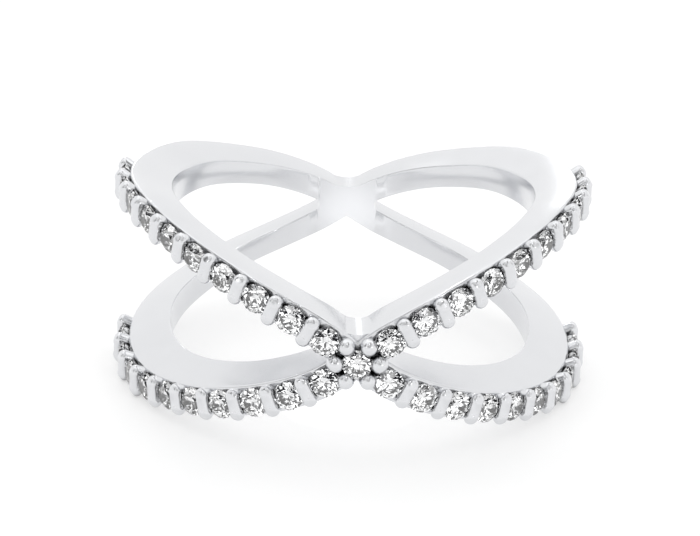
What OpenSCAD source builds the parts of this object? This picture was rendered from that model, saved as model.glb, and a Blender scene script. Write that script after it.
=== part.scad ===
// Crossover ring: two slender bands that cross at the front and again at the back.
// It lies as it rests on a table, with the axis of the finger hole upright along Z.
// The stone-set crossing faces -Y, and the origin is on the axis, midway up.

/* [Finger hole] */
// Diameter of the finger hole
finger_d = 17; // [16:0.1:19]

/* [Arms] */
// Height of an arm's middle over the crossings, at its highest, on the wall of the finger hole
arm_rise = 3.5; // [3.1:0.1:3.9]
// Wall at the front crossing, from the finger hole to the seat face
front_wall = 2.5; // [2.2:0.05:2.8]
// Wall between the front crossing and the sides
quarter_wall = 1.8; // [1.6:0.05:2.1]
// Wall at the sides
side_wall = 2.05; // [1.8:0.05:2.3]
// Wall at the back crossing
back_wall = 1.5; // [1.2:0.05:1.8]
// Width of an arm on the wall of the finger hole, at the front crossing
front_w = 1.35; // [1.2:0.05:1.6]
// Width of an arm on the wall of the finger hole, at the sides
arm_w = 1.65; // [1.5:0.05:1.8]
// Width of an arm's seat face, at the sides
seat_w = 1.3; // [1.2:0.05:1.4]
// Width of an arm's seat face at the front crossing
front_seat_w = 1.6; // [1.5:0.05:1.7]
// Width of an arm at the back crossing
back_w = 1.1; // [1:0.05:1.25]
// Bevel along the outer edges of the arms
edge_bevel = 0.14; // [0.08:0.02:0.2]
// Radius of the hollow between the upper arms, where they run together at the front
front_valley_r = 1.4; // [1:0.1:1.7]
// Radius of the hollow between the upper arms, where they run together at the back
back_valley_r = 1.8; // [1.2:0.1:2.2]
// Radius of the hollows between an upper and a lower arm, on both sides of the back crossing
side_valley_r = 0.28; // [0.2:0.02:0.34]

/* [Stones] */
// Diameter of a stone at its girdle
stone_d = 1.4; // [1.3:0.05:1.5]
// Stones in each of the four arms, besides the centre stone
stones_per_arm = 10; // [7:1:10]
// Distance from the centre stone to the first stone of an arm
first_pitch = 1.75; // [1.7:0.05:2]
// Distance between two stones of an arm
stone_pitch = 1.84; // [1.78:0.02:1.96]
// Height of the girdles over the seat face
stone_lift = 0.28; // [0.2:0.02:0.36]
// Thickness of the girdle
girdle_h = 0.05; // [0.03:0.01:0.08]
// Clearance between a stone and the metal
stone_gap = 0.03; // [0.02:0.01:0.05]

/* [Prongs] */
// Diameter of a prong along the arms
prong_d = 0.7; // [0.64:0.02:0.76]
// Diameter of a prong round the centre stone
centre_prong_d = 0.82; // [0.74:0.02:0.86]
// Distance between the two prongs of a pair, across the arm
prong_spread = 0.78; // [0.7:0.02:0.86]
// Diameter of the bar that joins the two prongs of a pair
bar_d = 0.64; // [0.54:0.02:0.7]
// Height of a prong's tip over the seat face
prong_h = 0.7; // [0.62:0.02:0.78]
// Length of a prong from its foot in the arm to the middle of its round tip
prong_l = 0.8; // [0.75:0.05:1]
// Angle at which the prongs on the outer edges of the arms lean over those edges
outer_lean = 12; // [6:1:16]
// Angle at which the prongs on the inner edges lean toward the middle plane
inner_lean = 22; // [14:1:26]
// Distance from the middle of the centre stone to the prong on each side of it
side_prong_x = 1; // [0.95:0.05:1.1]

/* [Hidden] */
finger_r = finger_d / 2;
stone_r = stone_d / 2;

// Columns of arm_shape, a row for each station from the front crossing at 0 degrees to the back at 180
ANGLE = 0;
// Height of the arm's middle, as a share of arm_rise
RISE = 1;
arm_shape = [
    [0, 0],
    [10, 0.29],
    [22, 0.53],
    [36, 0.74],
    [52, 0.91],
    [70, 1],
    [90, 0.96],
    [110, 0.88],
    [128, 0.78],
    [144, 0.62],
    [158, 0.455],
    [170, 0.25],
    [180, 0],
];
last_row = len(arm_shape) - 1;

// Angles between which an arm's wall changes, along the quarter and from the side to the back
wall_quarter = 55;
wall_side = 95;
wall_back = 120;

// Angles between which its widths change, along the front and from the side to the back
width_front = 60;
width_side = 85;
width_back = 155;

// Angle at which the hollow between two arms meets their faces
valley_bite = 10;

// Proportions of a round brilliant, as shares of its girdle diameter
crown_share = 0.16;
pavilion_share = 0.43;
table_share = 0.56;
star_share = 0.8;
lower_share = 0.3;

// Steps of the sweep round the whole ring, and of the walk along an arm
band_steps = 120;
walk_step = 1;

function mix(from, to, share) = from + (to - from) * share;
function ease(a, from, to) =
    let (t = min(max((a - from) / (to - from), 0), 1))
    t * t * (3 - 2 * t);

// Cubic through the rows of arm_shape, straight on through the crossings
function row_slope(i) =
    let (low = max(i - 1, 0), high = min(i + 1, last_row))
    (arm_shape[high][RISE] - arm_shape[low][RISE]) / (arm_shape[high][ANGLE] - arm_shape[low][ANGLE]);
function row_before(a) = max([for (i = [0 : last_row - 1]) if (i == 0 || arm_shape[i][ANGLE] <= a) i]);
function rise_share(a) =
    let (
        i = row_before(a),
        span = arm_shape[i + 1][ANGLE] - arm_shape[i][ANGLE],
        t = (a - arm_shape[i][ANGLE]) / span,
        start = arm_shape[i][RISE],
        end = arm_shape[i + 1][RISE]
    )
    start
    + (end - start) * t * t * (3 - 2 * t)
    + row_slope(i) * span * t * (1 - t) * (1 - t)
    - row_slope(i + 1) * span * t * t * (1 - t);

// Half the round is mirrored: the angle runs from -180 to 180, and the rise changes sign with it
function rise(a) = sign(a) * arm_rise * rise_share(abs(a));
function wall(a) =
    let (
        front = mix(front_wall, quarter_wall, ease(abs(a), 0, wall_quarter)),
        side = mix(front, side_wall, ease(abs(a), wall_quarter, wall_side))
    )
    mix(side, back_wall, ease(abs(a), wall_back, 180));
function width_between(a, front, side) =
    mix(mix(front, side, ease(abs(a), 0, width_front)), back_w, ease(abs(a), width_side, width_back));
function bore_width(a) = width_between(a, front_w, arm_w);
function seat_width(a) = width_between(a, front_seat_w, seat_w);

// The middle of an arm lies on lines from the origin, so it climbs from the finger hole outward.
// The seat face itself stands upright, like the wall of the finger hole.
function lean(a) = atan(rise(a) / finger_r);
function outward(a) = [sin(a), -cos(a), 0];
function arm_point(a, r, z) = r * outward(a) + [0, 0, rise(a) * r / finger_r + z];
function seat_point(a) = arm_point(a, finger_r + wall(a), 0);

// Where the arm climbs, its upright section is wider than the arm itself
function climb(a) =
    let (run = seat_point(a + walk_step) - seat_point(a - walk_step))
    atan2(run[2], norm([run[0], run[1]]));

function unit(v) = v / norm(v);
function frame_at(a) =
    let (
        out = outward(a),
        run = seat_point(a + walk_step) - seat_point(a - walk_step),
        side = unit(cross(out, run)),
        along = cross(side, out),
        at = seat_point(a)
    )
    [
        [along[0], side[0], out[0], at[0]],
        [along[1], side[1], out[1], at[1]],
        [along[2], side[2], out[2], at[2]],
        [0, 0, 0, 1],
    ];

// Pairs of length and angle along the seats of an arm, for laying out the stones
walk = [
    for (
        a = 0, length = 0;
        a <= 180;
        length = length + norm(seat_point(a + walk_step) - seat_point(a)), a = a + walk_step
    ) [length, a]
];
function stone_length(k) = k == 0 ? 0 : first_pitch + (k - 1) * stone_pitch;
function stone_angle(k) = lookup(stone_length(k), walk);
function gap_angle(k) = lookup(
    k == stones_per_arm ? stone_length(k) + stone_pitch / 2 : (stone_length(k) + stone_length(k + 1)) / 2,
    walk);

arm_names = ["upper_right", "upper_left", "lower_left", "lower_right"];
arm_flips = [[1, 1], [-1, 1], [-1, -1], [1, -1]];
function stone_name(arm, k) = str("stone_", arm_names[arm], "_", k);

// Turns the upper right arm into any of the four
module on_arm(flips) {
    mirror([flips[0] < 0 ? 1 : 0, 0, 0])
        mirror([0, 0, flips[1] < 0 ? 1 : 0])
            children();
}

// The band reaches this far into the finger hole before the hole is cut
inside = finger_r / 12;

// Corners of the band's section: distance from the axis, and height over the middle of the arm
function hoop_section(a) =
    let (
        stretch = 1 / cos(climb(a)),
        taper = (bore_width(a) - seat_width(a)) / wall(a),
        deep = (bore_width(a) + taper * inside) / 2 * stretch,
        top = seat_width(a) / 2 * stretch,
        near = finger_r - inside,
        far = finger_r + wall(a)
    )
    [
        [near, -deep],
        [far - edge_bevel, -top],
        [far, edge_bevel - top],
        [far, top - edge_bevel],
        [far - edge_bevel, top],
        [near, deep],
    ];

// One band: a closed sweep that crosses the middle plane at the front and at the back
module hoop() {
    section_points = len(hoop_section(0));
    points = [
        for (i = [0 : band_steps - 1])
            let (a = -180 + i * 360 / band_steps)
            for (p = hoop_section(a)) arm_point(a, p[0], p[1])
    ];
    faces = [
        for (i = [0 : band_steps - 1])
            for (j = [0 : section_points - 1])
                let (
                    near = i * section_points,
                    far = (i + 1) % band_steps * section_points,
                    next = (j + 1) % section_points
                )
                for (half = [0, 1])
                    half == 0 ? [near + j, near + next, far + j] : [far + j, near + next, far + next]
    ];
    polyhedron(points, faces, convexity = 10);
}

// The metal in the angle between two arms at a crossing, hollowed by a round of radius r
module valley(a, r) {
    slope = abs(climb(a));
    start = bore_width(a) / 2 / cos(slope);
    end = seat_width(a) / 2 / cos(slope);
    tilt = atan((end - start) / wall(a));
    near = r * cos(valley_bite);
    half = near * sin(slope) + start / 2;
    top = near * sin(slope) * tan(slope);
    rotate([0, 0, a])
        translate([0, -finger_r, start])
            rotate([90 - tilt, 0, 0])
                difference() {
                    translate([-half, -start / 2, -inside])
                        cube([2 * half, start / 2 + top, inside + wall(a) - edge_bevel]);
                    translate([0, near / cos(slope), 0])
                        cylinder(r = r, h = 4 * wall(a), center = true, $fn = 64);
                }
}

// The metal in the angles between the upper and the lower arms at the back crossing, with its two hollows
module side_valleys(r) {
    slope = abs(climb(180));
    start = bore_width(180) / 2;
    near = r * cos(valley_bite);
    middle = (start + near) / sin(slope);
    half = middle - near * sin(slope);
    translate([0, finger_r, 0])
        rotate([-90, 0, 0])
            difference() {
                translate([-half, -start, -inside])
                    cube([2 * half, 2 * start, inside + wall(180) - edge_bevel]);
                for (side = [-1, 1])
                    translate([side * middle, 0, 0])
                        cylinder(r = r, h = 4 * wall(180), center = true, $fn = 48);
            }
}

// A prong of diameter d stands on the seat face and leans by the given angle
module prong(d, lean) {
    translate([0, 0, prong_h - d / 2])
        rotate([-lean, 0, 0]) {
            sphere(d = d, $fn = 32);
            translate([0, 0, -prong_l]) cylinder(d = d, h = prong_l, $fn = 32);
        }
}

module seat_cut() {
    crown = crown_share * stone_d;
    open_r = table_share * stone_r + stone_gap;
    translate([0, 0, stone_lift])
        rotate_extrude($fn = 48)
            polygon([
                [0, -girdle_h / 2 - pavilion_share * stone_d - 2 * stone_gap],
                [stone_r + stone_gap, -girdle_h / 2 - stone_gap / 2],
                [stone_r + stone_gap, girdle_h / 2 + stone_gap / 2],
                [open_r, girdle_h / 2 + crown + stone_gap],
                [open_r, prong_h + crown],
                [0, prong_h + crown],
            ]);
}

module prong_bar() {
    translate([0, 0, prong_h - prong_d / 2])
        rotate([90, 0, 0]) cylinder(d = bar_d, h = prong_spread, center = true, $fn = 32);
}

// A pair of prongs in each gap; the first gap has no inner one, because the side prongs hold there
module arm_prongs() {
    for (k = [0 : stones_per_arm])
        multmatrix(frame_at(gap_angle(k))) {
            translate([0, prong_spread / 2, 0])
                prong(k == 0 ? centre_prong_d : prong_d, lean(gap_angle(k)) + outer_lean);
            if (k > 0) {
                translate([0, -prong_spread / 2, 0]) prong(prong_d, -inner_lean);
                prong_bar();
            }
        }
}

module side_prongs() {
    for (side = [-1, 1])
        translate([side * side_prong_x, -finger_r - front_wall, 0])
            rotate([90, 0, 0]) prong(centre_prong_d, 0);
}

module arm_seats() {
    for (k = [1 : stones_per_arm])
        multmatrix(frame_at(stone_angle(k))) seat_cut();
}

// The two bands and all prongs are one casting
module band() {
    color("gainsboro")
        difference() {
            union() {
                hoop();
                mirror([0, 0, 1]) hoop();
                valley(0, front_valley_r);
                valley(180, back_valley_r);
                side_valleys(side_valley_r);
                for (flips = arm_flips) on_arm(flips) arm_prongs();
                side_prongs();
            }
            cylinder(r = finger_r, h = 4 * arm_rise, center = true, $fn = 180);
            for (flips = arm_flips) on_arm(flips) arm_seats();
            multmatrix(frame_at(0)) seat_cut();
        }
}

function ring_points(count, r, z, turn) = [
    for (i = [0 : count - 1]) [r * cos(turn + i * 360 / count), r * sin(turn + i * 360 / count), z]
];

// Round brilliant with its girdle at z = 0 and its table on top
module brilliant() {
    mains = 8;
    step = 360 / mains;
    crown = crown_share * stone_d;
    pavilion = pavilion_share * stone_d;
    table_r = table_share * stone_r;
    star_r = star_share * stone_r;
    lower_r = lower_share * stone_r;
    star_z = crown * (stone_r - star_r * cos(step / 2)) / (stone_r - table_r);
    lower_z = -pavilion * (1 - lower_r * cos(step / 2) / stone_r);
    half = girdle_h / 2;
    points = concat(
        ring_points(mains, table_r, half + crown, step / 2),
        ring_points(mains, star_r, half + star_z, 0),
        ring_points(2 * mains, stone_r, half, 0),
        ring_points(2 * mains, stone_r, -half, 0),
        ring_points(mains, lower_r, -half + lower_z, 0),
        [[0, 0, -half - pavilion]]
    );
    table = 0;
    star = mains;
    upper = 2 * mains;
    under = 4 * mains;
    lower = 6 * mains;
    culet = 7 * mains;
    faces = concat(
        [[for (i = [mains - 1 : -1 : 0]) table + i]],
        [for (i = [0 : mains - 1])
            let (next = (i + 1) % mains, before = (i + mains - 1) % mains, odd = 2 * i + 1,
                back = (2 * i + 2 * mains - 1) % (2 * mains))
            for (face = [
                [table + before, table + i, star + i],
                [table + i, star + next, upper + odd, star + i],
                [star + i, upper + 2 * i, upper + back],
                [star + i, upper + odd, upper + 2 * i],
                [upper + odd, under + odd, under + 2 * i, upper + 2 * i],
                [upper + 2 * i, under + 2 * i, under + back, upper + back],
                [lower + i, under + 2 * i, under + odd],
                [lower + i, under + back, under + 2 * i],
                [lower + i, under + odd, lower + next, culet],
            ]) face]
    );
    polyhedron(points, faces);
}

module stone(a, flips) {
    color("aliceblue")
        on_arm(flips)
            multmatrix(frame_at(a))
                translate([0, 0, stone_lift])
                    brilliant();
}

band();
stone(0, arm_flips[0]);  // stone_centre
for (arm = [0 : 3])
    for (k = [1 : stones_per_arm])
        stone(stone_angle(k), arm_flips[arm]);
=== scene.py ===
"""Crossover ring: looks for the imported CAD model.

Lengths are in millimetres until a mesh is made. Angles round the ring are in degrees from the front crossing,
and grow toward +X.
"""

import math

import bmesh
import bpy
from mathutils import Matrix, Vector


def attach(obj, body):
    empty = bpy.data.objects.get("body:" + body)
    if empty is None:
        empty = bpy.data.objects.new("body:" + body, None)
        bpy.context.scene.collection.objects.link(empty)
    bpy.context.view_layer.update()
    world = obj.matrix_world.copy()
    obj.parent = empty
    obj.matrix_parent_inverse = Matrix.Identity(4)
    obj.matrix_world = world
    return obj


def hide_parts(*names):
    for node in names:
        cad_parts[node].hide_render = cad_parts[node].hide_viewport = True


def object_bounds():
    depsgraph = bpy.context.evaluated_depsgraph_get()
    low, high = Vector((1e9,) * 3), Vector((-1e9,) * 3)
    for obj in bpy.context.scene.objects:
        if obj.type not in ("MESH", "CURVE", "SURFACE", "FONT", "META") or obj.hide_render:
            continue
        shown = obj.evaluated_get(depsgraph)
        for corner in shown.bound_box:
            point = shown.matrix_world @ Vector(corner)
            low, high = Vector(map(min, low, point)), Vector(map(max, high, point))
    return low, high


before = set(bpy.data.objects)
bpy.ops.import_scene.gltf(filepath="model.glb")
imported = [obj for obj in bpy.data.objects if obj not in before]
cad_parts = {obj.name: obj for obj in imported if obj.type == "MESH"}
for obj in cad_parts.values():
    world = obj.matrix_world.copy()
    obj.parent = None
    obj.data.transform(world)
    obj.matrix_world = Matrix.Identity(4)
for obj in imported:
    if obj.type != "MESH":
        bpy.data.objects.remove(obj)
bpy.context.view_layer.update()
scene = bpy.context.scene
MM = 0.001


def add_object(name, data):
    made = bpy.data.objects.new(name, data)
    scene.collection.objects.link(made)
    return made


# Camera: its turn round the ring, its height as an angle over the floor, and its roll
CAMERA_TURN = math.radians(2.08)
CAMERA_UP = math.radians(22.24)
CAMERA_ROLL = math.radians(1.78)
# Distance from the ring's middle, and the scale of the picture there
CAMERA_AWAY = 200
PIXELS_PER_MM = 21.03
FRAME_WIDTH = 700
SENSOR = 36
# How far the camera's aim lies to the right of the ring's middle and above it
AIM_RIGHT, AIM_UP = -0.056, 0.066
NEAREST_SEEN, FARTHEST_SEEN = 1, 10000


def make_camera():
    """The camera looks at the ring's middle from the front and above, and a little from the left."""
    back = Vector((
        -math.cos(CAMERA_UP) * math.sin(CAMERA_TURN),
        -math.cos(CAMERA_UP) * math.cos(CAMERA_TURN),
        math.sin(CAMERA_UP),
    ))
    right = Vector((0, 0, 1)).cross(back).normalized()
    up = back.cross(right)
    data = bpy.data.cameras.new("camera")
    data.sensor_width = SENSOR
    data.lens = PIXELS_PER_MM * CAMERA_AWAY / FRAME_WIDTH * SENSOR
    data.clip_start, data.clip_end = NEAREST_SEEN * MM, FARTHEST_SEEN * MM
    camera = add_object("camera", data)
    place = (back * CAMERA_AWAY + right * AIM_RIGHT + up * AIM_UP) * MM
    turn = Matrix((right, up, back)).transposed() @ Matrix.Rotation(CAMERA_ROLL, 3, "Z")
    camera.matrix_world = Matrix.Translation(place) @ turn.to_4x4()
    scene.camera = camera


make_camera()

# Angles of the two crossings
FRONT, BACK = 0, 180

# The arms' sizes, as in the CAD model
FINGER_R = 8.5
# Height of an arm's middle over the crossings, at its highest, on the wall of the finger hole
ARM_RISE = 3.5
# Wall of an arm from the finger hole to the seat face, and the angles between which it changes
FRONT_WALL, QUARTER_WALL, SIDE_WALL, BACK_WALL = 2.5, 1.8, 2.05, 1.5
WALL_QUARTER, WALL_SIDE, WALL_BACK = 55, 95, 120
# Widths of an arm on the wall of the finger hole, and of its seat face: at the back, both have BACK_W
FRONT_W, ARM_W, BACK_W = 1.35, 1.65, 1.1
FRONT_SEAT_W, SEAT_W = 1.6, 1.3
# Angles between which the widths change
WIDTH_FRONT, WIDTH_SIDE, WIDTH_BACK = 60, 85, 155
# Radii of the hollows where two arms run together, and the angle at which a hollow meets their faces
FRONT_VALLEY_R, BACK_VALLEY_R, SIDE_VALLEY_R = 1.4, 1.8, 0.28
VALLEY_BITE = 10
# Signs of x and z that turn the upper right arm into itself, the upper left, lower left and lower right one
ARM_FLIPS = [(1, 1), (-1, 1), (-1, -1), (1, -1)]
# Columns of ARM_SHAPE: an angle, and the height of the arm's middle there as a share of ARM_RISE
ANGLE, RISE = 0, 1
ARM_SHAPE = [
    (0, 0), (10, 0.29), (22, 0.53), (36, 0.74), (52, 0.91), (70, 1), (90, 0.96),
    (110, 0.88), (128, 0.78), (144, 0.62), (158, 0.455), (170, 0.25), (180, 0),
]
LAST_ROW = len(ARM_SHAPE) - 1

# The sizes of the stones, as in the CAD model
STONE_R = 0.7
STONES_PER_ARM = 10
# Distance from the centre stone to an arm's first one, and between its other stones
FIRST_PITCH, STONE_PITCH = 1.75, 1.84
# The walk along an arm that lays out its stones ends at this angle
ARM_END = 130
# Height of the girdles over the seat face
STONE_LIFT = 0.28
GIRDLE_H, STONE_GAP = 0.05, 0.03
# Heights of a stone's crown and pavilion and width of its table, as shares of its diameter
CROWN, PAVILION, TABLE = 0.16, 0.43, 0.56

# The sizes of prongs and bars, as in the CAD model
PRONG_D, CENTRE_PRONG_D, BAR_D = 0.7, 0.82, 0.64
# Distance between the two prongs of a pair, and height of their tips over the seat face
PRONG_SPREAD, PRONG_H = 0.78, 0.7
# Length of a prong from the middle of its tip down to its foot
PRONG_L = 0.8
# Angles at which the prongs lean: outward on an arm's outer edge, toward the middle plane on its inner edge
OUTER_LEAN, INNER_LEAN = 12, 22
# Distance from the middle of the centre stone to the prong on each side of it
SIDE_PRONG_X = 1.0

# Fine forms that only the visible metal has
EDGE_R, BORE_EDGE_R = 0.14, 0.07
HEAD_R, BAR_EDGE_R = 0.25, 0.2
# Depth of the bars' feet under the seat face
BAR_FOOT = 0.1
# How far the arms reach into the finger hole at the crossings, and the angles between which that fades out
CROSSING_DIP, DIP_START, DIP_END = 0.02, 8, 16
# How far their inner sides swell toward the finger beyond that, and the angle at which the swell is full
BORE_SWELL, SWELL_FULL = 0.05, 36
# The hole is cut a little inside the arms' own faces, so that the cut leaves no slivers on them
CUT_INSET = 0.005
CUT_R = FINGER_R - CUT_INSET
# Half height of the cut, which is taller than the ring
CUT_HALF = FINGER_R
# How far the webs reach into the finger hole before it is cut
WEB_INSIDE = 0.3

# Fineness of the visible metal: steps round the ring, of a rounded corner, across a swell and along a hollow
HOOP_STEPS = 360
CORNER_STEPS = 5
SWELL_STEPS = 8
VALLEY_STEPS = 40
# Degrees between the points of a prong's rounded head, and sides of a prong and of a seat
HEAD_STEP = 10
PRONG_SIDES = 28
SEAT_SIDES = 40
# Points closer than this are joined, and edges that bend more than this angle stay sharp
WELD = 0.001
SHARP_ANGLE = 38


def mix(start, end, share):
    return start + (end - start) * share


def ease(angle, start, end):
    """A smooth step from 0 to 1 between two angles."""
    t = min(max((angle - start) / (end - start), 0), 1)
    return t * t * (3 - 2 * t)


def row_slope(row):
    """Slope of the arm's rise at one row of its table, from the rows beside it."""
    before, after = ARM_SHAPE[max(row - 1, 0)], ARM_SHAPE[min(row + 1, LAST_ROW)]
    return (after[RISE] - before[RISE]) / (after[ANGLE] - before[ANGLE])


def rise_share(angle):
    """A smooth curve through the rows of ARM_SHAPE."""
    row = max(n for n in range(LAST_ROW) if n == 0 or ARM_SHAPE[n][ANGLE] <= angle)
    start, end = ARM_SHAPE[row], ARM_SHAPE[row + 1]
    span = end[ANGLE] - start[ANGLE]
    t = (angle - start[ANGLE]) / span
    return (
        start[RISE]
        + (end[RISE] - start[RISE]) * t * t * (3 - 2 * t)
        + row_slope(row) * span * t * (1 - t) ** 2
        - row_slope(row + 1) * span * t * t * (1 - t)
    )


def rise(angle):
    """Height of the band's middle on the wall of the finger hole: up toward +X and down toward -X."""
    angle = (angle + 180) % 360 - 180
    return math.copysign(ARM_RISE * rise_share(abs(angle)), angle) if angle else 0


def wall(angle):
    angle = abs(angle)
    front = mix(FRONT_WALL, QUARTER_WALL, ease(angle, FRONT, WALL_QUARTER))
    side = mix(front, SIDE_WALL, ease(angle, WALL_QUARTER, WALL_SIDE))
    return mix(side, BACK_WALL, ease(angle, WALL_BACK, BACK))


def width_between(angle, front, side):
    angle = abs(angle)
    before_back = mix(front, side, ease(angle, FRONT, WIDTH_FRONT))
    return mix(before_back, BACK_W, ease(angle, WIDTH_SIDE, WIDTH_BACK))


def bore_width(angle):
    return width_between(angle, FRONT_W, ARM_W)


def seat_width(angle):
    return width_between(angle, FRONT_SEAT_W, SEAT_W)


def from_crossing(angle):
    """Angle to the nearer crossing."""
    return min(abs(angle), BACK - abs(angle))


def swell(angle):
    """How far an arm's inner side swells toward the finger: it lies flat at the crossings."""
    return BORE_SWELL * ease(from_crossing(angle), DIP_END, SWELL_FULL)


def dip(angle):
    """How far an arm reaches into the finger hole near a crossing, where the hole is cut through two arms."""
    return CROSSING_DIP * (1 - ease(from_crossing(angle), DIP_START, DIP_END))


def lean(angle):
    """Angle at which the middle of an arm's section climbs, from the finger hole outward."""
    return math.degrees(math.atan(rise(angle) / FINGER_R))


def outward(angle):
    return Vector((math.sin(math.radians(angle)), -math.cos(math.radians(angle)), 0))


def arm_point(angle, r, z):
    """A point of the band at the distance r from the ring's axis and z over the middle of its section."""
    return r * outward(angle) + Vector((0, 0, rise(angle) * r / FINGER_R + z))


def seat_point(angle):
    return arm_point(angle, FINGER_R + wall(angle), 0)


def seat_run(angle):
    return seat_point(angle + 1) - seat_point(angle - 1)


def climb(angle):
    """Steepness of the middle of the seat face, in radians."""
    run = seat_run(angle)
    return math.atan2(run.z, math.hypot(run.x, run.y))


def frame_at(angle):
    """A place on the seat face: X along the arm, Y across it and Z outward."""
    out = outward(angle)
    side = out.cross(seat_run(angle)).normalized()
    along = side.cross(out)
    at = seat_point(angle)
    return Matrix((
        (along.x, side.x, out.x, at.x),
        (along.y, side.y, out.y, at.y),
        (along.z, side.z, out.z, at.z),
        (0, 0, 0, 1),
    ))


def walk_arm():
    """Pairs of length and angle along the seats of an arm, for laying out the stones."""
    walk = [(0.0, FRONT)]
    for angle in range(ARM_END):
        length = walk[-1][0]
        walk.append((length + (seat_point(angle + 1) - seat_point(angle)).length, angle + 1))
    return walk


WALK = walk_arm()


def walk_angle(length):
    for (before, angle), (after, _) in zip(WALK, WALK[1:]):
        if length <= after:
            return angle + (length - before) / (after - before)
    return ARM_END


def stone_length(k):
    """Length from the centre stone to stone k of an arm; the centre stone is number 0."""
    return 0 if k == 0 else FIRST_PITCH + (k - 1) * STONE_PITCH


def stone_angle(k):
    return walk_angle(stone_length(k))


def gap_angle(k):
    """Angle of the prongs that follow stone k."""
    if k == STONES_PER_ARM:
        return walk_angle(stone_length(k) + STONE_PITCH / 2)
    return walk_angle((stone_length(k) + stone_length(k + 1)) / 2)


# Solids
def solid(name, points, faces):
    """A mesh object from points in millimetres."""
    mesh = bpy.data.meshes.new(name)
    mesh.from_pydata([Vector(p) * MM for p in points], [], faces)
    return add_object(name, mesh)


def facing_out(place, faces):
    """The faces, turned over where the place is a mirror image."""
    return faces if place.determinant() > 0 else [face[::-1] for face in faces]


def prism_faces(first, count):
    """Ends and sides of a prism whose two outlines of count points follow one another."""
    near = range(first, first + count)
    far = range(first + count, first + 2 * count)
    faces = [tuple(near), tuple(far)[::-1]]
    for i in near:
        j = first + (i - first + 1) % count
        faces.append((j, i, i + count, j + count))
    return faces


def rounded(corners, radii):
    """A closed outline with each corner turned into an arc that touches both its sides."""
    outline = []
    count = len(corners)
    for i, radius in enumerate(radii):
        at = Vector(corners[i])
        before = (Vector(corners[i - 1]) - at).normalized()
        after = (Vector(corners[(i + 1) % count]) - at).normalized()
        half = before.angle(after) / 2
        reach = radius / math.tan(half)
        middle = at + (before + after).normalized() * radius / math.sin(half)
        start, end = at + before * reach - middle, at + after * reach - middle
        sweep = start.angle(end)
        for n in range(CORNER_STEPS + 1):
            t = n / CORNER_STEPS
            turn = (start * math.sin((1 - t) * sweep) + end * math.sin(t * sweep)) / math.sin(sweep)
            outline.append(middle + turn)
    return outline


def hoop_section(angle):
    """A band's section in distances from the axis and heights, with rounded corners and a swelling bore."""
    stretch = 1 / math.cos(climb(angle))
    bore_half = bore_width(angle) / 2 * stretch
    seat_half = seat_width(angle) / 2 * stretch
    seat_r = FINGER_R + wall(angle)
    edge_r = FINGER_R + swell(angle) - dip(angle)
    corners = [(edge_r, -bore_half), (seat_r, -seat_half), (seat_r, seat_half), (edge_r, bore_half)]
    section = rounded(corners, [BORE_EDGE_R, EDGE_R, EDGE_R, BORE_EDGE_R])
    for n in range(1, SWELL_STEPS):
        share = 1 - 2 * n / SWELL_STEPS
        r = edge_r - swell(angle) * (1 - share * share)
        section.append(Vector((r, share * (bore_half - BORE_EDGE_R))))
    return section


def hoop(flip):
    """A band as a closed sweep: with flip 1 it rises toward +X at the front, and with -1 it is mirrored."""
    points = []
    for step in range(HOOP_STEPS):
        angle = -180 + step * 360 / HOOP_STEPS
        for r, z in hoop_section(angle):
            at = arm_point(angle, r, z)
            points.append((at.x, at.y, at.z * flip))
    size = len(points) // HOOP_STEPS
    faces = []
    for step in range(HOOP_STEPS):
        near, far = step * size, (step + 1) % HOOP_STEPS * size
        for j in range(size):
            following = (j + 1) % size
            face = (near + j, near + following, far + following, far + j)
            faces.append(face[::-1] if flip > 0 else face)
    return solid("hoop", points, faces)


def revolve(name, profile, places, count=PRONG_SIDES):
    """Closed solids of revolution, one for each place; the profile runs from axis to axis, top to bottom."""
    points, faces = [], []
    rows = len(profile) - 2
    for place in places:
        first = len(points)
        points.append(place @ Vector((0, 0, profile[0][1])))
        for r, z in profile[1:-1]:
            for i in range(count):
                turn = 2 * math.pi * i / count
                points.append(place @ Vector((r * math.cos(turn), r * math.sin(turn), z)))
        points.append(place @ Vector((0, 0, profile[-1][1])))
        last = len(points) - 1
        for i in range(count):
            j = (i + 1) % count
            made = [(first, first + 1 + i, first + 1 + j)]
            for row in range(rows - 1):
                high = first + 1 + row * count
                low = high + count
                made.append((high + i, low + i, low + j, high + j))
            end = first + 1 + (rows - 1) * count
            made.append((end + i, last, end + j))
            faces += facing_out(place, made)
    return solid(name, points, faces)


def prong_profile(d, r):
    """The outline of a prong of diameter d, with the edge of its head rounded by r."""
    half = d / 2
    turns = [math.radians(t) for t in range(0, 91, HEAD_STEP)]
    edge = [(half - r + r * math.sin(t), half - r + r * math.cos(t)) for t in turns]
    return [(0, half)] + [p for p in edge if p[0] > WELD] + [(half, -PRONG_L), (0, -PRONG_L)]


def bars_at(places):
    """Bars with a broad top and rounded upper edges, from the arm up to the heads of the prongs."""
    half = BAR_D / 2
    corners = [(-half, -BAR_FOOT), (half, -BAR_FOOT), (half, PRONG_H), (-half, PRONG_H)]
    outline = rounded(corners, [BORE_EDGE_R, BORE_EDGE_R, BAR_EDGE_R, BAR_EDGE_R])
    points, faces = [], []
    for place in places:
        first = len(points)
        for across in (-PRONG_SPREAD / 2, PRONG_SPREAD / 2):
            points += [place @ Vector((along, across, up)) for along, up in outline]
        faces += facing_out(place, prism_faces(first, len(outline)))
    return solid("bars", points, faces)


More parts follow.
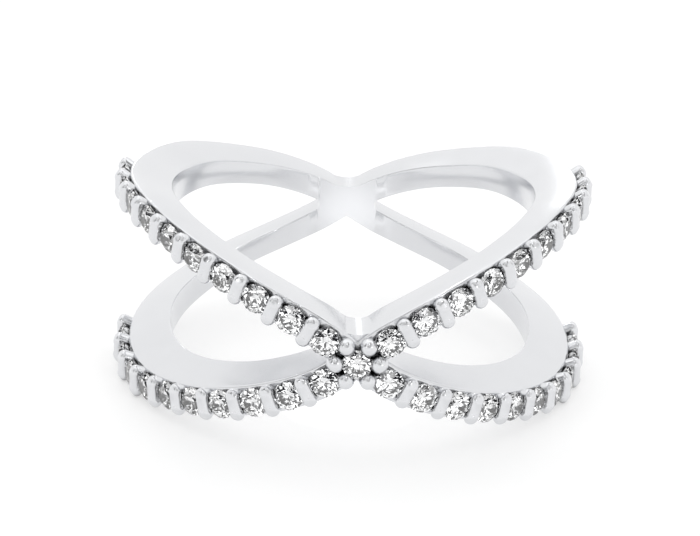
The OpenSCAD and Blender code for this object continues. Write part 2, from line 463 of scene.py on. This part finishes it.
def seat_profile():
    """The outline of the space cut for a stone, from over its table to under its tip."""
    open_r = TABLE * STONE_R + STONE_GAP
    side_r = STONE_R + STONE_GAP
    crown_h = CROWN * 2 * STONE_R
    pavilion_h = PAVILION * 2 * STONE_R
    girdle_top, girdle_foot = STONE_LIFT + GIRDLE_H / 2, STONE_LIFT - GIRDLE_H / 2
    return [
        (0, PRONG_H + crown_h + STONE_LIFT),
        (open_r, PRONG_H + crown_h + STONE_LIFT),
        (open_r, girdle_top + crown_h + STONE_GAP),
        (side_r, girdle_top + STONE_GAP / 2),
        (side_r, girdle_foot - STONE_GAP / 2),
        (0, girdle_foot - pavilion_h - 2 * STONE_GAP),
    ]


def tipped(d, across, tip):
    """The place of a prong of diameter d across the arm from its middle, tipped by an angle in degrees."""
    return Matrix.Translation((0, across, PRONG_H - d / 2)) @ Matrix.Rotation(math.radians(-tip), 4, "X")


def setting_of(arms):
    """Prongs, bars and seats of two arms that don't meet, so that no kind overlaps itself."""
    first, outer, inner, bars, seats = [], [], [], [], []
    for arm in arms:
        x, z = ARM_FLIPS[arm]
        flip = Matrix.Diagonal((x, 1, z, 1))
        for k in range(STONES_PER_ARM + 1):
            angle = gap_angle(k)
            place = flip @ frame_at(angle)
            if k == 0:
                first.append(place @ tipped(CENTRE_PRONG_D, PRONG_SPREAD / 2, lean(angle) + OUTER_LEAN))
            else:
                outer.append(place @ tipped(PRONG_D, PRONG_SPREAD / 2, lean(angle) + OUTER_LEAN))
                inner.append(place @ tipped(PRONG_D, -PRONG_SPREAD / 2, -INNER_LEAN))
                bars.append(place)
                seats.append(flip @ frame_at(stone_angle(k)))
    prongs = prong_profile(PRONG_D, HEAD_R)
    added = [revolve("outer_prongs", prongs, outer), revolve("inner_prongs", prongs, inner)]
    added.append(revolve("first_prongs", prong_profile(CENTRE_PRONG_D, CENTRE_PRONG_D / 2), first))
    added.append(bars_at(bars))
    return added, revolve("seats", seat_profile(), seats, SEAT_SIDES)


def side_prongs():
    """The two prongs beside the centre stone."""
    places = []
    for side in (-1, 1):
        base = Matrix.Translation((side * SIDE_PRONG_X, -FINGER_R - FRONT_WALL, 0))
        places.append(base @ Matrix.Rotation(math.radians(90), 4, "X") @ tipped(CENTRE_PRONG_D, 0, 0))
    return revolve("side_prongs", prong_profile(CENTRE_PRONG_D, CENTRE_PRONG_D / 2), places)


def web(outline, place, angle):
    """A prism from inside the finger hole to the bevels of the arms at a crossing."""
    ends = (wall(angle) - EDGE_R, -WEB_INSIDE)
    points = [place @ Vector((x, y, z)) for z in ends for x, y in outline]
    return solid("web", points, prism_faces(0, len(outline)))


def valley(angle, r):
    """The web between two upper arms, with its hollow of radius r."""
    slope = abs(climb(angle))
    start = bore_width(angle) / 2 / math.cos(slope)
    end = seat_width(angle) / 2 / math.cos(slope)
    tilt = math.atan((end - start) / wall(angle))
    near = r * math.cos(math.radians(VALLEY_BITE))
    half = near * math.sin(slope) + start / 2
    top = near * math.sin(slope) * math.tan(slope)
    middle = near / math.cos(slope)
    reach = math.acos((middle - top) / r)
    outline = [(-half, -start / 2), (half, -start / 2), (half, top)]
    for n in range(VALLEY_STEPS + 1):
        turn = reach - 2 * reach * n / VALLEY_STEPS
        outline.append((r * math.sin(turn), middle - r * math.cos(turn)))
    outline.append((-half, top))
    place = (
        Matrix.Rotation(math.radians(angle), 4, "Z")
        @ Matrix.Translation((0, -FINGER_R, start))
        @ Matrix.Rotation(math.pi / 2 - tilt, 4, "X")
    )
    return web(outline, place, angle)


def side_valleys(r):
    """The web between the upper and the lower arms at the back crossing, with its two hollows."""
    slope = abs(climb(BACK))
    start = bore_width(BACK) / 2
    near = r * math.cos(math.radians(VALLEY_BITE))
    middle = (start + near) / math.sin(slope)
    half = middle - near * math.sin(slope)
    reach = math.acos((middle - half) / r)
    outline = []
    for side in (1, -1):
        outline.append((side * half, -side * start))
        for n in range(VALLEY_STEPS + 1):
            turn = reach * (2 * n / VALLEY_STEPS - 1)
            outline.append((side * (middle - r * math.cos(turn)), side * r * math.sin(turn)))
        outline.append((side * half, side * start))
    place = Matrix.Translation((0, FINGER_R, 0)) @ Matrix.Rotation(-math.pi / 2, 4, "X")
    return web(outline, place, BACK)


def boolean(target, operation, cutters):
    """Joins the cutters to the target or cuts them out of it, and deletes them."""
    for cutter in cutters:
        modifier = target.modifiers.new("boolean", "BOOLEAN")
        modifier.solver = "MANIFOLD"
        modifier.operation = operation
        modifier.object = cutter
    bpy.context.view_layer.update()
    done = target.evaluated_get(bpy.context.evaluated_depsgraph_get())
    target.data = bpy.data.meshes.new_from_object(done)
    target.modifiers.clear()
    for cutter in cutters:
        bpy.data.objects.remove(cutter)


def clean(mesh):
    """Joins the tiny steps that the cuts leave where two faces all but coincide, and drops what is loose."""
    work = bmesh.new()
    work.from_mesh(mesh)
    bmesh.ops.remove_doubles(work, verts=work.verts, dist=WELD * MM)
    bmesh.ops.dissolve_degenerate(work, edges=work.edges, dist=WELD * MM)
    bmesh.ops.delete(work, geom=[edge for edge in work.edges if not edge.link_faces], context="EDGES")
    bmesh.ops.delete(work, geom=[point for point in work.verts if not point.link_faces], context="VERTS")
    work.to_mesh(mesh)
    work.free()


def make_band():
    """Both bands, their webs, prongs and bars in one casting, with the finger hole and the seats cut out."""
    casting = hoop(1)
    webs = [valley(FRONT, FRONT_VALLEY_R), valley(BACK, BACK_VALLEY_R), side_valleys(SIDE_VALLEY_R)]
    added = [hoop(-1)] + webs + [side_prongs()]
    bore = [(0, CUT_HALF), (CUT_R, CUT_HALF), (CUT_R, -CUT_HALF), (0, -CUT_HALF)]
    cut = [revolve("bore", bore, [Matrix.Identity(4)], HOOP_STEPS)]
    cut.append(revolve("centre_seat", seat_profile(), [frame_at(FRONT)], SEAT_SIDES))
    for arms in ((0, 2), (1, 3)):
        prongs_and_bars, seats = setting_of(arms)
        added += prongs_and_bars
        cut.append(seats)
    boolean(casting, "UNION", added)
    boolean(casting, "DIFFERENCE", cut)
    clean(casting.data)
    casting.name = "band_casting"
    casting.data.name = "band_casting"
    casting.data.shade_smooth()
    casting.data.set_sharp_from_angle(angle=math.radians(SHARP_ANGLE))
    even = casting.modifiers.new("even_normals", "WEIGHTED_NORMAL")
    even.keep_sharp = True
    return casting


band = make_band()

# Materials
METAL_TONES = ((0.71, 0.717, 0.735, 1), (0.75, 0.757, 0.775, 1))
METAL_ROUGHNESS = (0.17, 0.23)
# Patches of the polish in a metre, and how finely they are broken up
POLISH_SCALE, POLISH_DETAIL = 700, 3
# Painted shade: the metal's colour darkens in seats and gaps. How far it looks for walls, and with how many
# samples
PAINTED_SHADE_REACH, PAINTED_SHADE_SAMPLES = 0.5, 6
# How open a place is where it is darkest and where it is no longer dark, and the share of the tone it keeps
PAINTED_SHADE_OPEN, PAINTED_SHADE_KEPT = (0.05, 0.5), (0.08, 1)

# Painted reflections: the tones between which each facet's tint is picked, by its direction
PAINTED_FACET_TONES = ((0.94, 0.95, 0.96, 1), (1, 1, 1, 1))
STONE_IOR = 2.42
# Facets whose directions differ by more than this get tones of their own
FACET_STEP = (0.05, 0.05, 0.05)

FLOOR_TONES = ((0.47, 0.47, 0.47, 1), (0.49, 0.49, 0.49, 1))
FLOOR_ROUGHNESS, FLOOR_SPECULAR = 0.6, 0.2
# The floor glows a little, which keeps the ring's shadow light
FLOOR_GLOW, FLOOR_GLOW_TONE = 0.56, (1, 1, 1, 1)
FLOOR_SCALE, FLOOR_DETAIL = 60, 2


def node_of_type(tree, kind):
    return next(found for found in tree.nodes if found.type == kind)


def set_sockets(target, values):
    for socket, value in values.items():
        target.inputs[socket].default_value = value


def material(name, sockets):
    """A new material with its shader, whose sockets take the given values."""
    made = bpy.data.materials.new(name)
    made.use_nodes = True
    tree = made.node_tree
    shader = node_of_type(tree, "BSDF_PRINCIPLED")
    set_sockets(shader, sockets)
    return made, tree, shader


def node(tree, kind, sockets=None, **settings):
    """A new node with its settings and the values of its unlinked sockets."""
    made = tree.nodes.new(kind)
    for name, value in settings.items():
        setattr(made, name, value)
    set_sockets(made, sockets or {})
    return made


def noise(tree, where, scale, detail):
    """Smooth noise between 0 and 1 over the coordinates that where gives."""
    made = node(tree, "ShaderNodeTexNoise", {"Scale": scale, "Detail": detail})
    tree.links.new(where, made.inputs["Vector"])
    return made.outputs["Fac"]


def ramp(tree, share, tones):
    """A tone between two, by a share from 0 to 1."""
    made = node(tree, "ShaderNodeValToRGB")
    for element, tone in zip(made.color_ramp.elements, tones):
        element.color = tone
    tree.links.new(share, made.inputs["Fac"])
    return made.outputs["Color"]


def remap(tree, value, old, new=(0, 1)):
    """A value moved from one range to another, and held at its ends."""
    sockets = {"From Min": old[0], "From Max": old[1], "To Min": new[0], "To Max": new[1]}
    made = node(tree, "ShaderNodeMapRange", sockets)
    tree.links.new(value, made.inputs["Value"])
    return made.outputs["Result"]


def metal():
    """Polished metal, slightly uneven in tone and gloss, with painted shade that darkens its colour in seats
    and gaps.
    """
    made, tree, shader = material("polished_white_metal", {"Metallic": 1})
    place = node(tree, "ShaderNodeTexCoord").outputs["Object"]
    polish = noise(tree, place, POLISH_SCALE, POLISH_DETAIL)
    # Painted shade: an occlusion test darkens the colour where walls close round it
    reach = {"Distance": PAINTED_SHADE_REACH * MM}
    painted_shade = node(tree, "ShaderNodeAmbientOcclusion", reach, samples=PAINTED_SHADE_SAMPLES)
    shaded = node(tree, "ShaderNodeVectorMath", operation="SCALE")
    link = tree.links.new
    link(ramp(tree, polish, METAL_TONES), shaded.inputs[0])
    link(remap(tree, painted_shade.outputs["AO"], PAINTED_SHADE_OPEN, PAINTED_SHADE_KEPT), shaded.inputs["Scale"])
    link(shaded.outputs["Vector"], shader.inputs["Base Color"])
    link(remap(tree, polish, (0, 1), METAL_ROUGHNESS), shader.inputs["Roughness"])
    return made


def gem():
    """Clear stone with painted reflections: each facet has a slightly different tone, picked by its
    direction.
    """
    sockets = {"Roughness": 0, "IOR": STONE_IOR, "Transmission Weight": 1}
    made, tree, shader = material("brilliant_stone", sockets)
    normal = node(tree, "ShaderNodeNewGeometry").outputs["True Normal"]
    facet = node(tree, "ShaderNodeVectorMath", {1: FACET_STEP}, operation="SNAP")
    facet_glint = node(tree, "ShaderNodeTexWhiteNoise")
    link = tree.links.new
    link(normal, facet.inputs[0])
    link(facet.outputs["Vector"], facet_glint.inputs["Vector"])
    link(ramp(tree, facet_glint.outputs["Value"], PAINTED_FACET_TONES), shader.inputs["Base Color"])
    return made


def floor_finish():
    """Pale grey that glows a little."""
    made, tree, shader = material("pale_floor", {
        "Roughness": FLOOR_ROUGHNESS,
        "Specular IOR Level": FLOOR_SPECULAR,
        "Emission Color": FLOOR_GLOW_TONE,
        "Emission Strength": FLOOR_GLOW,
    })
    place = node(tree, "ShaderNodeTexCoord").outputs["Generated"]
    grain = noise(tree, place, FLOOR_SCALE, FLOOR_DETAIL)
    tree.links.new(ramp(tree, grain, FLOOR_TONES), shader.inputs["Base Color"])
    return made


band.data.materials.clear()
band.data.materials.append(metal())
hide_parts("band")
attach(band, "root")

gem_finish = gem()
for name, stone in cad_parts.items():
    if name != "band":
        for slot in stone.material_slots:
            slot.material = gem_finish

# Floor
FLOOR_HALF = 600
FLOOR_CORNERS = [(-1, -1), (1, -1), (1, 1), (-1, 1)]


def make_floor():
    """A square as low as the lowest point that shows."""
    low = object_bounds()[0].z / MM
    points = [(x * FLOOR_HALF, y * FLOOR_HALF, low) for x, y in FLOOR_CORNERS]
    made = solid("floor", points, [(0, 1, 2, 3)])
    made.data.materials.append(floor_finish())
    return made


floor = make_floor()

# Light
SPOT_BLEND = 0.4
SPOT_SOFTNESS = 0.5
# Places of the small lamps, which make the sparks in the stones and the points of light on the prongs
LAMPS = {"left": (-90, -90, 70), "right": (80, -110, 50), "high": (20, -60, 140), "far": (-30, 110, 90)}


def aim(name, data, place, target):
    """Adds a light at a place, turned toward its target."""
    made = add_object(name, data)
    made.location = Vector(place) * MM
    made.rotation_mode = "QUATERNION"
    made.rotation_quaternion = (Vector(target) * MM - Vector(place) * MM).to_track_quat("-Z", "Y")


def area_light(name, place, size, power):
    """A rectangular light that faces the middle of the ring."""
    data = bpy.data.lights.new(name, "AREA")
    data.shape = "RECTANGLE"
    data.size, data.size_y = size[0] * MM, size[1] * MM
    data.energy = power
    aim(name, data, place, (0, 0, 0))


def spot_light(name, place, target, spread, power):
    data = bpy.data.lights.new(name, "SPOT")
    data.spot_size = math.radians(spread)
    data.spot_blend = SPOT_BLEND
    data.shadow_soft_size = SPOT_SOFTNESS * MM
    data.energy = power
    aim(name, data, place, target)


def make_lights():
    # A broad light above, and a small bright card far behind, which the upper faces mirror
    area_light("top_softbox", place=(0, 15, 150), size=(240, 150), power=0.036)
    area_light("back_card", place=(0, 400, 92), size=(40, 24), power=0.0105)
    for side, place in LAMPS.items():
        area_light(side + "_lamp", place, size=(7, 7), power=0.0036)
    # Straight down through the finger hole: the back crossing mirrors the patch of floor that it brightens
    spot_light("hole_spot", place=(0, -4, 150), target=(0, -4, 0), spread=2.5, power=0.78)


make_lights()

# World
WORLD_TONES = ((0.01, 0.01, 0.012, 1), (1, 1, 1, 1))
# The openings' and patches' noise: its scale, its detail, and the values between which it turns white
OPENING_SCALE, OPENING_EDGE = 4.5, (0.46, 0.48)
PATCH_SCALE, PATCH_EDGE = 3.5, (0.53, 0.55)
NOISE_DETAIL = 0
# The openings give way to white between these depths and heights, as parts of a direction of length 1
BEHIND_EDGE, LOW_EDGE = (-0.1, 0.3), (0.4, 0.3)
# Strength of the world, and what is added to it for the stones
WORLD_POWER, STONE_POWER = 1.06, 1.0


def larger(tree, first, second):
    made = node(tree, "ShaderNodeMath", operation="MAXIMUM")
    tree.links.new(first, made.inputs[0])
    tree.links.new(second, made.inputs[1])
    return made.outputs["Value"]


def tent(tree, direction):
    """White all round, with dark openings only high up and not behind the ring."""
    opening = remap(tree, noise(tree, direction, OPENING_SCALE, NOISE_DETAIL), OPENING_EDGE)
    axes = node(tree, "ShaderNodeSeparateXYZ")
    tree.links.new(direction, axes.inputs["Vector"])
    behind = remap(tree, axes.outputs["Y"], BEHIND_EDGE)
    low = remap(tree, axes.outputs["Z"], LOW_EDGE)
    return larger(tree, opening, larger(tree, low, behind))


def make_world():
    """A studio: the metal, a little rough, mirrors a tent, and the sharp stones mirror brighter patches."""
    world = bpy.data.worlds.new("studio")
    world.use_nodes = True
    scene.world = world
    tree = world.node_tree
    link = tree.links.new
    background = node_of_type(tree, "BACKGROUND")
    direction = node(tree, "ShaderNodeTexCoord").outputs["Generated"]
    sharp = node(tree, "ShaderNodeLightPath").outputs["Is Singular Ray"]
    patches = remap(tree, noise(tree, direction, PATCH_SCALE, NOISE_DETAIL), PATCH_EDGE)
    seen = node(tree, "ShaderNodeMix")
    link(sharp, seen.inputs["Factor"])
    link(tent(tree, direction), seen.inputs["A"])
    link(patches, seen.inputs["B"])
    link(ramp(tree, seen.outputs["Result"], WORLD_TONES), background.inputs["Color"])
    power = node(tree, "ShaderNodeMath", {1: STONE_POWER, 2: WORLD_POWER}, operation="MULTIPLY_ADD")
    link(sharp, power.inputs[0])
    link(power.outputs["Value"], background.inputs["Strength"])


make_world()
scene.view_settings.view_transform = "Standard"
scene.view_settings.look = "None"
